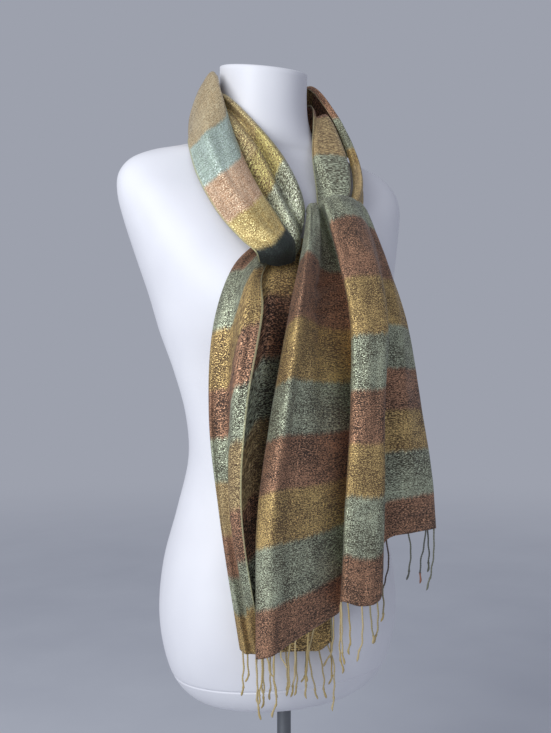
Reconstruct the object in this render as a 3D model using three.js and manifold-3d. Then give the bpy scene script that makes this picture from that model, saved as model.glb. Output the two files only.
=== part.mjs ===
// A woven scarf tied in a half knot, resting on a limbless dress form that stands on a pole and
// a round foot.
// Millimetres, +Z up. The form's front faces -Y, +X is the wearer's left, the floor is Z = 0
// and the pole's axis stands on the origin.

import * as THREE from 'three';
import { mergeVertices } from 'three/addons/utils/BufferGeometryUtils.js';
import Module from 'manifold-3d';

const wasm = await Module();
wasm.setup();

// The cloth: one long piece, worn as four stretches that show.
const CLOTH_WALL = 1.6;
const SEAM_GAP = 0.7;
const COLUMNS_PER_FOLD = 2;
const TAIL_ROWS_PER_STATION = 3;
const NECK_ROWS_PER_STATION = 2;
const NECK_STEPS = 3;

// The fringe: strands rooted in a narrow strip that lies just under each hem.
const STRIP_GAP = 0.4;
const STRIP_HEIGHT = 3;
const STRAND_RADIUS = 0.9;
const TUFT_RADIUS = 1.7;
const STRAND_SIDES = 3;
// Each ring of a strand: its share of the length and its radius.
const STRAND_RINGS = [
  { share: 0, radius: STRAND_RADIUS }, { share: 1 / 3, radius: STRAND_RADIUS },
  { share: 2 / 3, radius: STRAND_RADIUS }, { share: 0.84, radius: TUFT_RADIUS },
  { share: 1, radius: STRAND_RADIUS },
];
// The strands drift along this level line, to the wearer's left and forward.
const DRIFT_LINE = new THREE.Vector3(0.9, -0.44, 0);
// One row for each strand: [share of the hem, length, drift at a third, at two thirds, at the end].
const FRONT_STRANDS = [
  [0.012, 58, 0, 0, -1], [0.038, 62, 0, 1, 0], [0.068, 69, 1.5, 1.5, 6.5], [0.09, 51, 0.5, -2, -4],
  [0.106, 22, 2, 3, 5], [0.126, 70, 0, 3, -3], [0.152, 20, 0, 3, 9], [0.188, 60, -2, -1, -2],
  [0.207, 65, 0, -1, -5], [0.258, 58, -1, -2, -4], [0.281, 82, -6, -9, -10],
  [0.369, 60, 0, -2, -11], [0.432, 82, 0, -1, 5], [0.455, 74, 1, 1, 4], [0.478, 61, 2, 3, 0],
  [0.52, 65, 1, 0, -8], [0.545, 45, 1, 3, 4], [0.571, 49, 1, 0, -3], [0.64, 50, 1, 2, 0],
  [0.715, 48, 1, 0, -2], [0.76, 73, 3, -1, -11], [0.835, 57, 3, 2, -2], [0.9, 66, -3, -7, -6],
  [0.935, 77, 0, -3, -8], [0.978, 58, 1, 2, 0],
];
const BACK_STRANDS = [
  [0.05, 56, 0, 1, 1], [0.165, 50, 1, 0, 1], [0.29, 42, 0, 1, 0], [0.41, 48, 1, 0, -1],
  [0.5, 52, -1, 0, 2], [0.6, 46, 1, 2, 1], [0.68, 52, 0, 1, -1], [0.755, 37, 0, -1, -3],
  [0.77, 57, 3, 7, 11], [0.87, 57, 4, 6, 6], [0.95, 80, 8, 8, 5], [0.985, 52, 0, 1, -1],
];

// The dress form and its stand.
const NECK_BACKWARD = 64;
const NECK_TILT = Math.tan(THREE.MathUtils.degToRad(12.5));
const TILT_STARTS = 1030;
const TILT_ENDS = 1141;
const BUST_ACROSS = 72;
const BUST_HEIGHT = 812;
const BUST_RISE = 16;
const BUST_SPREAD = 40;
const FORM_SEGMENTS = 36;
const FOOT_RADIUS = 150;
const FOOT_HEIGHT = 8;
const FOOT_EDGE = 3;
const POLE_RADIUS = 9;
const SOCKET_RADIUS = 19;
const SOCKET_HEIGHT = 26;
const SOCKET_CLEARANCE = 0.3;
const FLANGE_RADIUS = 36;
const FLANGE_HEIGHT = 6;
const ROUND_SEGMENTS = 40;
const FORM_UNDERSIDE = 312;

// One row for each level cut through the form: its height, half width, front and back half depth,
// how far its centre lies behind the pole, and how square its outline is (2 is an ellipse).
const FORM_SECTIONS = [
  { height: 312, half: 60, front: 44, back: 44, centre: 10, square: 2 },
  { height: 314, half: 92, front: 66, back: 66, centre: 10, square: 2 },
  { height: 326, half: 122, front: 87, back: 87, centre: 10, square: 2.05 },
  { height: 350, half: 143, front: 101, back: 103, centre: 10, square: 2.1 },
  { height: 390, half: 156, front: 110, back: 114, centre: 10, square: 2.15 },
  { height: 435, half: 160, front: 112, back: 118, centre: 11, square: 2.2 },
  { height: 495, half: 154, front: 106, back: 112, centre: 12, square: 2.2 },
  { height: 560, half: 136, front: 98, back: 100, centre: 14, square: 2.15 },
  { height: 625, half: 121, front: 92, back: 90, centre: 16, square: 2.1 },
  { height: 680, half: 124, front: 94, back: 90, centre: 20, square: 2.1 },
  { height: 735, half: 138, front: 104, back: 94, centre: 26, square: 2.1 },
  { height: 785, half: 155, front: 122, back: 98, centre: 32, square: 2.1 },
  { height: 830, half: 167, front: 128, back: 100, centre: 38, square: 2.1 },
  { height: 880, half: 183, front: 116, back: 98, centre: 44, square: 2.15 },
  { height: 925, half: 197, front: 98, back: 88, centre: 50, square: 2.2 },
  { height: 960, half: 205, front: 80, back: 76, centre: 54, square: 2.3 },
  { height: 985, half: 203, front: 66, back: 66, centre: 58, square: 2.3 },
  { height: 1003, half: 190, front: 58, back: 60, centre: 60, square: 2.2 },
  { height: 1016, half: 165, front: 56, back: 58, centre: 62, square: 2.1 },
  { height: 1026, half: 128, front: 57, back: 58, centre: 64, square: 2 },
  { height: 1036, half: 96, front: 60, back: 60, centre: 65, square: 2 },
  { height: 1050, half: 75, front: 62, back: 62, centre: 66, square: 2 },
  { height: 1075, half: 64, front: 61, back: 61, centre: 66, square: 2 },
  { height: 1108, half: 60, front: 60, back: 60, centre: 64, square: 2 },
  { height: 1141, half: 60, front: 60, back: 60, centre: 62, square: 2 },
];

// Fold tables, one row for each crest or trough that runs down the cloth, from the wearer's right to
// the left. Each place is [across, forward of the pole, height above the floor].
// The tail that hangs in front, columns: tuck, crest, chest, bust, waist, low, hem.
const TAIL_FRONT = {
  'right tuck': [
    [8, 58, 928], [8, 62, 930], [-18, 97, 885], [-38, 114, 800], [-58, 120, 690], [-74, 118, 570],
    [-74, 122, 418],
  ],
  'right turn': [
    [0, 61, 932], [-1, 66, 934], [-27, 102, 880], [-57, 127, 800], [-81, 132, 690], [-98, 130, 570],
    [-99, 128, 410],
  ],
  'long roll': [
    [1, 64, 937], [0, 73, 940], [-25, 116, 889], [-54, 148, 802], [-74, 153, 694], [-88, 149, 576],
    [-88, 143, 415],
  ],
  'flat panel': [
    [8, 66, 938], [7, 74, 941], [-9, 108, 886], [-35, 138, 799], [-50, 146, 691], [-61, 144, 571],
    [-66, 139, 423],
  ],
  'inner flank': [
    [13, 62, 936], [12, 68, 938], [9, 86, 884], [-9, 118, 800], [-8, 131, 690], [-17, 133, 568],
    [-34, 131, 433],
  ],
  'deep trough': [
    [17, 59, 937], [18, 61, 938], [30, 84, 884], [36, 112, 800], [42, 111, 690], [34, 112, 568],
    [17, 115, 447],
  ],
  'middle edge': [
    [21, 61, 944], [20, 69, 948], [18, 99, 898], [19, 136, 805], [19, 140, 700], [12, 138, 568],
    [9, 134, 464],
  ],
  'middle roll': [
    [37, 63, 948], [37, 72, 953], [38, 108, 900], [36, 150, 790], [36, 154, 700], [34, 150, 570],
    [28, 146, 459],
  ],
  'middle flank': [
    [56, 60, 949], [56, 68, 954], [61, 107, 900], [63, 147, 800], [56, 154, 700], [56, 151, 570],
    [53, 147, 464],
  ],
  'left trough': [
    [68, 54, 948], [68, 62, 953], [80, 92, 896], [80, 119, 800], [66, 126, 700], [72, 126, 590],
    [74, 126, 528],
  ],
  'left panel': [
    [79, 53, 944], [79, 60, 949], [92, 87, 894], [106, 110, 805], [106, 126, 700], [112, 130, 600],
    [112, 130, 536],
  ],
  'left turn': [
    [87, 49, 939], [88, 56, 943], [99, 75, 890], [123, 97, 800], [139, 108, 690], [149, 118, 600],
    [152, 122, 538],
  ],
  'left tuck': [
    [87, 44, 932], [88, 49, 935], [90, 67, 888], [106, 84.5, 795], [124, 98, 690], [134, 106, 600],
    [138, 108, 540],
  ],
};

// The tail behind it, columns: start inside the knot, knot, bust, waist, low, hem.
const TAIL_BACK = {
  'selvedge': [
    [-34, 78, 896], [-76, 98, 850], [-95, 138, 800], [-117, 143, 690], [-117, 130, 575],
    [-86, 116, 414],
  ],
  'edge roll': [
    [-44, 79, 895], [-89, 102, 852], [-113, 132, 800], [-129, 132, 690], [-127, 120, 575],
    [-94, 118, 412],
  ],
  'side trough': [
    [-54, 77, 893], [-97, 89, 853], [-121, 110, 797], [-128, 114, 690], [-124, 113, 575],
    [-99, 115, 412],
  ],
  'side roll': [
    [-64, 76, 890], [-104, 85, 855], [-131, 98, 797], [-141, 103, 690], [-133, 108, 575],
    [-108, 117, 414],
  ],
  'side turn': [
    [-72, 71, 888], [-106, 80, 857], [-134, 90, 793], [-145, 100, 687], [-135, 106, 575],
    [-111, 111, 418],
  ],
  'side tuck': [
    [-64, 69, 890], [-98, 75, 855], [-120, 79, 800], [-132, 90, 690], [-123, 98, 575], [-102, 104, 420],
  ],
  'inside right': [
    [-50, 70, 893], [-84, 84, 852], [-98, 92, 800], [-108, 102, 690], [-110, 104, 575], [-90, 107, 412],
  ],
  'inside roll': [
    [-36, 71, 895], [-62, 91, 850], [-72, 106, 800], [-84, 106, 690], [-92, 108, 575], [-72, 111, 408],
  ],
  'inside trough': [
    [-20, 70, 896], [-40, 95, 850], [-42, 105, 800], [-50, 101, 690], [-60, 104, 575], [-50, 108, 406],
  ],
  'behind roll': [
    [-6, 71, 897], [-16, 91, 850], [-14, 100.8, 800], [-20, 104, 690], [-30, 108, 575],
    [-24, 111, 404],
  ],
  'behind trough': [
    [2, 70, 898], [-4, 91, 850], [-2, 100, 800], [-6, 98, 690], [-12, 102, 575], [-6, 108, 402],
  ],
  'behind end': [
    [10, 71, 899], [7, 92, 850], [11, 100, 800], [11, 99, 690], [6, 104, 575], [11, 109, 412],
  ],
};

// The stretch round the right of the neck lies in two layers. The first two columns, back and side,
// go round the neck: [distance from the neck's axis, height]. The rest are places:
// ridge, collar, chest, breast, throat, end.
const RIGHT_COLLAR = {
  'outer edge': [
    [92, 1014], [106, 1040], [-121, -30, 1024.2], [-125, 9, 977], [-112, 47, 924], [-97, 82, 889],
    [-88, 103, 872], [-82, 99, 862],
  ],
  'flat flap': [
    [97, 1060], [99, 1086], [-107, -20, 1060], [-112, 18, 1015], [-98, 58, 955], [-78, 97, 903],
    [-64, 114, 873], [-60, 101, 858],
  ],
  'apex': [
    [82, 1110], [75, 1131], [-81, -25, 1098], [-81, 15, 1024], [-71, 58, 964], [-53, 88, 915],
    [-45, 111, 884], [-42, 99, 862],
  ],
  'top turn': [
    [73, 1109], [68, 1127], [-75, -33, 1098], [-69, 2, 1029], [-60, 46, 963], [-43, 77, 915],
    [-36, 101, 886], [-33, 96, 866],
  ],
};
const RIGHT_ROLLS = {
  'first crease': [
    [95.4, 1060], [95, 1070], [-86, -32, 1062], [-68, -4, 1014], [-59, 30, 967], [-46, 62, 922],
    [-37, 92, 881], [-33, 92, 868],
  ],
  'first roll': [
    [84, 1067], [84, 1075], [-75, -31, 1071], [-53, 14, 1022], [-45, 44, 983], [-39, 73, 939],
    [-27, 90, 903], [-23, 90, 884],
  ],
  'second crease': [
    [77, 1075], [77, 1084], [-68, -38, 1079], [-40, 0, 1025], [-30, 24, 988], [-25, 50, 951],
    [-17, 72, 917], [-13, 73, 901],
  ],
  'second roll': [
    [76, 1086], [76, 1096], [-70, -34, 1089], [-34, 14, 1031], [-21, 39, 997], [-13, 62, 961],
    [-8, 69, 931], [-8, 71, 918],
  ],
  'neck edge': [
    [69, 1094], [68, 1103], [-64, -38, 1094], [-24, 3, 1035], [-9, 26, 1000], [-1, 49, 960],
    [1, 56, 936], [-3, 61, 921],
  ],
};

// The stretch round the left of the neck, columns: back, side, ridge, shoulder, breast, end.
const LEFT_COLLAR = {
  'outer edge': [
    [92, 1014], [106, 1040], [119, -28, 1025], [112, 5, 990], [100, 32, 951], [76, 46, 925],
  ],
  'flat flap': [
    [97, 1060], [99, 1086], [110, -34, 1055], [111, 1, 1014], [99, 31, 966], [72, 50, 927],
  ],
  'apex': [[82, 1110], [75, 1131], [99, -40, 1092], [105, 0, 1034], [95, 36, 977], [70, 52, 934]],
  'top turn': [
    [73, 1109], [68, 1127], [90, -48, 1096], [99, -12, 1036], [89, 26, 978], [65, 48, 934],
  ],
};
const LEFT_ROLLS = {
  'first crease': [
    [95.4, 1060], [95, 1072], [94, -54, 1066], [96, -16, 1022], [87, 16, 974], [60, 45, 932],
  ],
  'first roll': [
    [84, 1067], [84, 1080], [85, -42, 1088], [86, 2, 1036], [78, 36, 978], [53, 57, 934],
  ],
  'second crease': [
    [77, 1075], [77, 1086], [71, -42, 1082], [50, 6, 1020], [50, 38, 965], [39, 55, 932],
  ],
  'second roll': [
    [76, 1086], [76, 1096], [69, -42, 1088], [44, 2, 1018], [42, 29, 966], [30, 53, 934],
  ],
  'neck edge': [
    [69, 1094], [68, 1104], [65, -43, 1095], [41, 1, 1018], [31, 31, 960], [18, 56, 928],
  ],
};

function place([across, forward, height]) {
  return new THREE.Vector3(across, -forward, height);
}

// A fold line's round part turns from behind the neck to its side in equal steps.
function neckPlaces(back, side, hand) {
  const places = [];
  for (let step = 0; step <= NECK_STEPS; step += 1) {
    const share = step / NECK_STEPS;
    const radius = THREE.MathUtils.lerp(back[0], side[0], share);
    const height = THREE.MathUtils.lerp(back[1], side[1], share);
    const turn = share * Math.PI / 2;
    const across = Math.max(radius * Math.sin(turn), SEAM_GAP / 2);
    places.push([hand * across, -NECK_BACKWARD - radius * Math.cos(turn), height]);
  }
  return places;
}

function smoothCurve(points) {
  return new THREE.CatmullRomCurve3(points, false, 'centripetal');
}

// Rows run along the cloth and columns across it, both on smooth curves through the table's places.
function foldGrid(foldLines, rowsPerStation) {
  const curves = foldLines.map((line) => smoothCurve(line.map(place)));
  const rows = (foldLines[0].length - 1) * rowsPerStation;
  const columns = (foldLines.length - 1) * COLUMNS_PER_FOLD;
  const grid = [];
  for (let row = 0; row <= rows; row += 1) {
    const across = smoothCurve(curves.map((curve) => curve.getPoint(row / rows)));
    const points = [];
    for (let column = 0; column <= columns; column += 1) {
      points.push(across.getPoint(column / columns));
    }
    grid.push(points);
  }
  return grid;
}

// The direction through a point of a line halves the angle between its two neighbours, so that a wall
// keeps its thickness round a sharp fold.
function directionAt(line, index) {
  const toward = new THREE.Vector3();
  if (index > 0) {
    toward.add(line[index].clone().sub(line[index - 1]).normalize());
  }
  if (index < line.length - 1) {
    toward.add(line[index + 1].clone().sub(line[index]).normalize());
  }
  return toward.normalize();
}

function gridNormals(grid) {
  return grid.map((points, row) => points.map((point, column) => {
    const along = directionAt(grid.map((line) => line[column]), row);
    const across = directionAt(points, column);
    return along.cross(across).normalize();
  }));
}

function bodyFrom(points, triangles) {
  const geometry = new THREE.BufferGeometry();
  geometry.setAttribute('position', new THREE.Float32BufferAttribute(points.flatMap((p) => p.toArray()), 3));
  geometry.setIndex(signedVolume(points, triangles) < 0 ? [...triangles].reverse() : triangles);
  return geometry;
}

function signedVolume(points, triangles) {
  let sum = 0;
  for (let i = 0; i < triangles.length; i += 3) {
    const [a, b, c] = [points[triangles[i]], points[triangles[i + 1]], points[triangles[i + 2]]];
    sum += a.dot(new THREE.Vector3().crossVectors(b, c));
  }
  return sum;
}

// A closed wall of even thickness round a grid: an outer skin, an inner skin and the four edges.
function clothWall(grid) {
  const normals = gridNormals(grid);
  const rows = grid.length;
  const columns = grid[0].length;
  const points = [];
  for (const side of [1, -1]) {
    grid.forEach((line, row) => line.forEach((point, column) => {
      points.push(point.clone().addScaledVector(normals[row][column], side * CLOTH_WALL / 2));
    }));
  }
  const inner = rows * columns;
  const at = (row, column) => row * columns + column;
  const triangles = [];
  const quad = (a, b, c, d) => triangles.push(a, b, c, a, c, d);
  for (let row = 0; row < rows - 1; row += 1) {
    for (let column = 0; column < columns - 1; column += 1) {
      const a = at(row, column);
      const b = at(row + 1, column);
      const c = b + 1;
      const d = a + 1;
      quad(a, b, c, d);
      quad(a + inner, d + inner, c + inner, b + inner);
    }
  }
  const rim = [];
  for (let column = 0; column < columns - 1; column += 1) {
    rim.push(at(0, column));
  }
  for (let row = 0; row < rows - 1; row += 1) {
    rim.push(at(row, columns - 1));
  }
  for (let column = columns - 1; column > 0; column -= 1) {
    rim.push(at(rows - 1, column));
  }
  for (let row = rows - 1; row > 0; row -= 1) {
    rim.push(at(row, 0));
  }
  rim.forEach((corner, index) => {
    const next = rim[(index + 1) % rim.length];
    quad(corner, next, next + inner, corner + inner);
  });
  return bodyFrom(points, triangles);
}

// A strand of few sides through some points; its radius grows at the tuft.
function strandBody(path, radii) {
  const points = [];
  const triangles = [];
  path.forEach((point, ring) => {
    for (let side = 0; side < STRAND_SIDES; side += 1) {
      const turn = 2 * Math.PI * side / STRAND_SIDES;
      const offset = new THREE.Vector3(Math.cos(turn), Math.sin(turn), 0).multiplyScalar(radii[ring]);
      points.push(offset.add(point));
    }
  });
  for (let ring = 0; ring < path.length - 1; ring += 1) {
    for (let side = 0; side < STRAND_SIDES; side += 1) {
      const a = ring * STRAND_SIDES + side;
      const b = ring * STRAND_SIDES + (side + 1) % STRAND_SIDES;
      triangles.push(a, b, b + STRAND_SIDES, a, b + STRAND_SIDES, a + STRAND_SIDES);
    }
  }
  const last = (path.length - 1) * STRAND_SIDES;
  triangles.push(0, 2, 1, last, last + 1, last + 2);
  return bodyFrom(points, triangles);
}

function toSolid(geometry) {
  const merged = mergeVertices(geometry);
  return new wasm.Manifold(new wasm.Mesh({
    numProp: 3,
    vertProperties: merged.attributes.position.array,
    triVerts: new Uint32Array(merged.index.array),
  }));
}

function toGeometry(solid) {
  const mesh = solid.getMesh();
  const geometry = new THREE.BufferGeometry();
  geometry.setAttribute('position', new THREE.BufferAttribute(mesh.vertProperties, 3));
  geometry.setIndex(new THREE.BufferAttribute(mesh.triVerts, 1));
  return geometry;
}

// The drift of a strand at a share of its length, read between its four stated places.
function driftAt(drifts, share) {
  const places = [0, ...drifts];
  const step = share * (places.length - 1);
  const before = Math.min(Math.floor(step), places.length - 2);
  return THREE.MathUtils.lerp(places[before], places[before + 1], step - before);
}

function polyline(points) {
  const path = new THREE.CurvePath();
  points.slice(1).forEach((point, index) => path.add(new THREE.LineCurve3(points[index], point)));
  return path;
}

// The strip follows the hem just below it, and each strand hangs from the strip's middle.
function fringe(grid, strands) {
  const hem = grid[grid.length - 1];
  const normals = gridNormals(grid)[grid.length - 1];
  const down = hem.map((point, column) => directionAt(hem, column).cross(normals[column]).normalize());
  const side = Math.sign(-down[0].z);
  const lower = (distance) => hem.map((point, column) => (
    point.clone().addScaledVector(down[column], side * distance)
  ));
  const strip = [lower(STRIP_GAP), lower(STRIP_GAP + STRIP_HEIGHT)];
  let solid = toSolid(clothWall(strip));
  const line = polyline(lower(STRIP_GAP + STRIP_HEIGHT / 2));
  strands.forEach(([hemShare, length, ...drifts]) => {
    const root = line.getPointAt(hemShare);
    const path = STRAND_RINGS.map(({ share }) => {
      const place = root.clone().addScaledVector(DRIFT_LINE, driftAt(drifts, share));
      place.z -= length * share;
      return place;
    });
    solid = solid.add(toSolid(strandBody(path, STRAND_RINGS.map(({ radius }) => radius))));
  });
  return toGeometry(solid);
}

// One level ring of the form. The neck's top leans down to the front, and the bust swells a little.
function formRing({ height, half, front, back, centre, square }) {
  const ring = [];
  const power = 2 / square;
  const lean = NECK_TILT * THREE.MathUtils.smoothstep(height, TILT_STARTS, TILT_ENDS);
  for (let step = 0; step < FORM_SEGMENTS; step += 1) {
    const turn = 2 * Math.PI * step / FORM_SEGMENTS;
    const [cosine, sine] = [Math.cos(turn), Math.sin(turn)];
    const across = half * Math.sign(cosine) * Math.abs(cosine) ** power;
    const depth = sine < 0 ? front : back;
    const fromCentre = depth * Math.sign(sine) * Math.abs(sine) ** power;
    const away = Math.hypot(Math.abs(across) - BUST_ACROSS, height - BUST_HEIGHT) / BUST_SPREAD;
    const swell = sine < 0 ? BUST_RISE * Math.exp(-away * away / 2) : 0;
    ring.push(new THREE.Vector3(across, centre + fromCentre - swell, height + lean * fromCentre));
  }
  return ring;
}

function formBody() {
  const rings = FORM_SECTIONS.map(formRing);
  const points = rings.flat();
  const triangles = [];
  for (let ring = 0; ring < rings.length - 1; ring += 1) {
    for (let step = 0; step < FORM_SEGMENTS; step += 1) {
      const a = ring * FORM_SEGMENTS + step;
      const b = ring * FORM_SEGMENTS + (step + 1) % FORM_SEGMENTS;
      triangles.push(a, b, b + FORM_SEGMENTS, a, b + FORM_SEGMENTS, a + FORM_SEGMENTS);
    }
  }
  const top = (rings.length - 1) * FORM_SEGMENTS;
  for (let step = 1; step < FORM_SEGMENTS - 1; step += 1) {
    triangles.push(0, step + 1, step, top, top + step, top + step + 1);
  }
  return bodyFrom(points, triangles);
}

// A body turned round the pole's axis from [radius, height] points of its outline.
function turned(outline) {
  const points = outline.map(([radius, height]) => new THREE.Vector2(radius, height));
  return new THREE.LatheGeometry(points, ROUND_SEGMENTS).rotateX(Math.PI / 2);
}

const cloth = (color) => new THREE.MeshStandardMaterial({
  color,
  roughness: 0.55,
  metalness: 0.25,
  side: THREE.DoubleSide,
});
const formWhite = new THREE.MeshStandardMaterial({ color: '#eceaee', roughness: 0.6, metalness: 0 });
const greyMetal = new THREE.MeshStandardMaterial({ color: '#7b7d80', roughness: 0.35, metalness: 0.9 });

const group = new THREE.Group();

function add(name, geometry, material) {
  const mesh = new THREE.Mesh(geometry, material);
  mesh.name = name;
  group.add(mesh);
}

const flangeTop = FORM_UNDERSIDE;
const poleTop = flangeTop - FLANGE_HEIGHT;
const socketTop = FOOT_HEIGHT + SOCKET_HEIGHT;
add('foot', turned([
  [0, 0], [FOOT_RADIUS, 0], [FOOT_RADIUS, FOOT_HEIGHT - FOOT_EDGE],
  [FOOT_RADIUS - FOOT_EDGE, FOOT_HEIGHT], [0, FOOT_HEIGHT],
]), greyMetal);
add('pole', turned([
  [0, FOOT_HEIGHT], [POLE_RADIUS, FOOT_HEIGHT], [POLE_RADIUS, poleTop], [0, poleTop],
]), greyMetal);
add('socket', turned([
  [POLE_RADIUS + SOCKET_CLEARANCE, FOOT_HEIGHT], [SOCKET_RADIUS, FOOT_HEIGHT],
  [SOCKET_RADIUS, socketTop - FOOT_EDGE], [SOCKET_RADIUS - FOOT_EDGE, socketTop],
  [POLE_RADIUS + SOCKET_CLEARANCE, socketTop], [POLE_RADIUS + SOCKET_CLEARANCE, FOOT_HEIGHT],
]), greyMetal);
add('flange', turned([
  [0, poleTop], [FLANGE_RADIUS, poleTop], [FLANGE_RADIUS, flangeTop], [0, flangeTop],
]), greyMetal);
add('dress_form', formBody(), formWhite);

const tailFront = foldGrid(Object.values(TAIL_FRONT), TAIL_ROWS_PER_STATION);
const tailBack = foldGrid(Object.values(TAIL_BACK), TAIL_ROWS_PER_STATION);
const neckLines = (table, hand) => Object.values(table).map(([back, side, ...rest]) => (
  [...neckPlaces(back, side, hand), ...rest]
));
const neckWall = (table, hand) => clothWall(foldGrid(neckLines(table, hand), NECK_ROWS_PER_STATION));
add('neck_right_collar', neckWall(RIGHT_COLLAR, -1), cloth('#b9975a'));
add('neck_right_rolls', neckWall(RIGHT_ROLLS, -1), cloth('#8f9a7c'));
add('neck_left_collar', neckWall(LEFT_COLLAR, 1), cloth('#8f9a7c'));
add('neck_left_rolls', neckWall(LEFT_ROLLS, 1), cloth('#a98a5e'));
add('tail_front', clothWall(tailFront), cloth('#a5855c'));
add('tail_back', clothWall(tailBack), cloth('#9aa383'));
add('fringe_front', fringe(tailFront, FRONT_STRANDS), cloth('#c9b684'));
add('fringe_back', fringe(tailBack, BACK_STRANDS), cloth('#c9b684'));

export default group;
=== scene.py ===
# %% [markdown]
# A scarf on a dress form, drawn for a reader who is learning Blender.
#
# The scarf is one long woven cloth with a twisted fringe at both ends. It is wound round the neck
# of a white display torso and tied in a half knot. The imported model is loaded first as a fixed
# frame, and every piece made here stands where one of its solids stands.

# %% Load the frame
import math

import bmesh
import bpy
import numpy as np
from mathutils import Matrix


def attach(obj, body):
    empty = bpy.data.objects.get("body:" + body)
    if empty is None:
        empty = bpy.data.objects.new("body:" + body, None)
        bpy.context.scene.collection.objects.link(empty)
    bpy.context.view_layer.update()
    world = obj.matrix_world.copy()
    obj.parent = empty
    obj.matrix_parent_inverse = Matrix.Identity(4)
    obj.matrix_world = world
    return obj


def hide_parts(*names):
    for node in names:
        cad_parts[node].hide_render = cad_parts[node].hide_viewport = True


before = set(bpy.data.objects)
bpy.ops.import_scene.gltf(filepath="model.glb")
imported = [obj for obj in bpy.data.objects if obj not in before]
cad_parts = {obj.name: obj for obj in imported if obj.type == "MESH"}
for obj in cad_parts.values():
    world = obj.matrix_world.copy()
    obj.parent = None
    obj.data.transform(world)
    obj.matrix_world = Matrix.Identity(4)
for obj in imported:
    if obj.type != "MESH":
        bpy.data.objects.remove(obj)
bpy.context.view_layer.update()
MM = 0.001
print("solids in the frame:", ", ".join(sorted(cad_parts)))

# %% [markdown]
# The camera comes first. The photograph was taken level, from the wearer's right front, about
# 1.2 m away. The picture is taller than wide, so the lens is stated against the picture's height.

# %% The camera
CAMERA_TURN = math.radians(26)
CAMERA_DISTANCE = 1200 * MM
CAMERA_HEIGHT = 740 * MM
CAMERA_SIDE_STEP = -11 * MM
LENS = 45.33
SENSOR_HEIGHT = 36


def linked(name, data):
    """A new object that holds this data, linked to the scene."""
    thing = bpy.data.objects.new(name, data)
    bpy.context.scene.collection.objects.link(thing)
    return thing


def place_camera():
    """Stands the camera on a circle round the pole, turned by CAMERA_TURN from the front, moved
    sideways by CAMERA_SIDE_STEP, and looking level at the pole."""
    lens = bpy.data.cameras.new("camera")
    lens.sensor_fit = "VERTICAL"
    lens.sensor_height = SENSOR_HEIGHT
    lens.lens = LENS
    camera = linked("camera", lens)
    sine, cosine = math.sin(CAMERA_TURN), math.cos(CAMERA_TURN)
    camera.location = (
        CAMERA_SIDE_STEP * cosine - CAMERA_DISTANCE * sine,
        -(CAMERA_SIDE_STEP * sine + CAMERA_DISTANCE * cosine),
        CAMERA_HEIGHT,
    )
    camera.rotation_euler = (math.pi / 2, 0, -CAMERA_TURN)
    bpy.context.scene.camera = camera
    return camera


camera = place_camera()
print("camera at", [round(c, 3) for c in camera.location])

# %% [markdown]
# Cloth is drawn through fold lines. Each line is a crest or a trough that runs down the cloth, and
# it has a place at each station, such as the chest, the waist and the hem. Smooth curves through
# the places, first along each line and then across from line to line, give a grid of points. This
# is how a pattern drafter would describe drapery, and it keeps the folds where they are wanted.

# %% Smooth curves and folded sheets
SMALLEST_GAP = 1e-4


def through(places, count):
    """A smooth curve through places, as an array whose first axis is the station. Between two
    places it is a cubic whose end slopes weigh the neighbours by the root of their distance, the
    centripetal Catmull-Rom rule. It is read at count + 1 even steps of station."""
    last = len(places) - 1
    step = np.linspace(0, last, count + 1)
    index = np.clip(np.floor(step).astype(int), 0, last - 1)
    share = (step - index).reshape((-1,) + (1,) * (places.ndim - 1))
    padded = np.concatenate([2 * places[:1] - places[1:2], places, 2 * places[-1:] - places[-2:-1]])
    a, b, c, d = (padded[index + k] for k in range(4))
    gaps = [np.sqrt(np.linalg.norm(q - p, axis=-1, keepdims=True)) for p, q in ((a, b), (b, c), (c, d))]
    before, here, after = (np.maximum(gap, SMALLEST_GAP) for gap in gaps)
    start = ((b - a) / before - (c - a) / (before + here) + (c - b) / here) * here
    end = ((c - b) / here - (d - b) / (here + after) + (d - c) / after) * here
    square = share * share
    cube = square * share
    return b + start * share + (3 * (c - b) - 2 * start - end) * square + (2 * (b - c) + start + end) * cube


def folded_sheet(fold_lines, rows, columns):
    """A grid of points: each fold line is read at rows + 1 steps, and then each row is carried
    smoothly across the fold lines at columns + 1 steps. Places are [across, forward, height]."""
    lines = np.array(fold_lines, float) * np.array([1, -1, 1])
    along = np.stack([through(line, rows) for line in lines])
    return through(along, columns).transpose(1, 0, 2)


def lengths(grid, axis):
    """The distance travelled along the grid's rows or columns, starting from 0."""
    steps = np.linalg.norm(np.diff(grid, axis=axis), axis=-1)
    start = np.zeros_like(np.take(steps, [0], axis=axis))
    return np.concatenate([start, np.cumsum(steps, axis=axis)], axis=axis)


def facing(grid):
    """Unit normals: the cross product of the slope down the grid and the slope across it."""
    normal = np.cross(np.gradient(grid, axis=0), np.gradient(grid, axis=1))
    return normal / np.maximum(np.linalg.norm(normal, axis=-1, keepdims=True), 1e-9)


# %% [markdown]
# Between its large folds a soft woven cloth has small creases. Each is listed with a start,
# an end, a width and a depth, and fades at both ends. Pushing the grid along its normals by a bell
# curve across the crease gives a soft trough or ridge.

# %% Small creases
CREASE_END = 0.02
CREASE_FADE = 0.6
RIPPLE_WAVELENGTHS = (38, 27, 19, 14, 10)
FULL_RIPPLE_WAVELENGTH = 60


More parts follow.
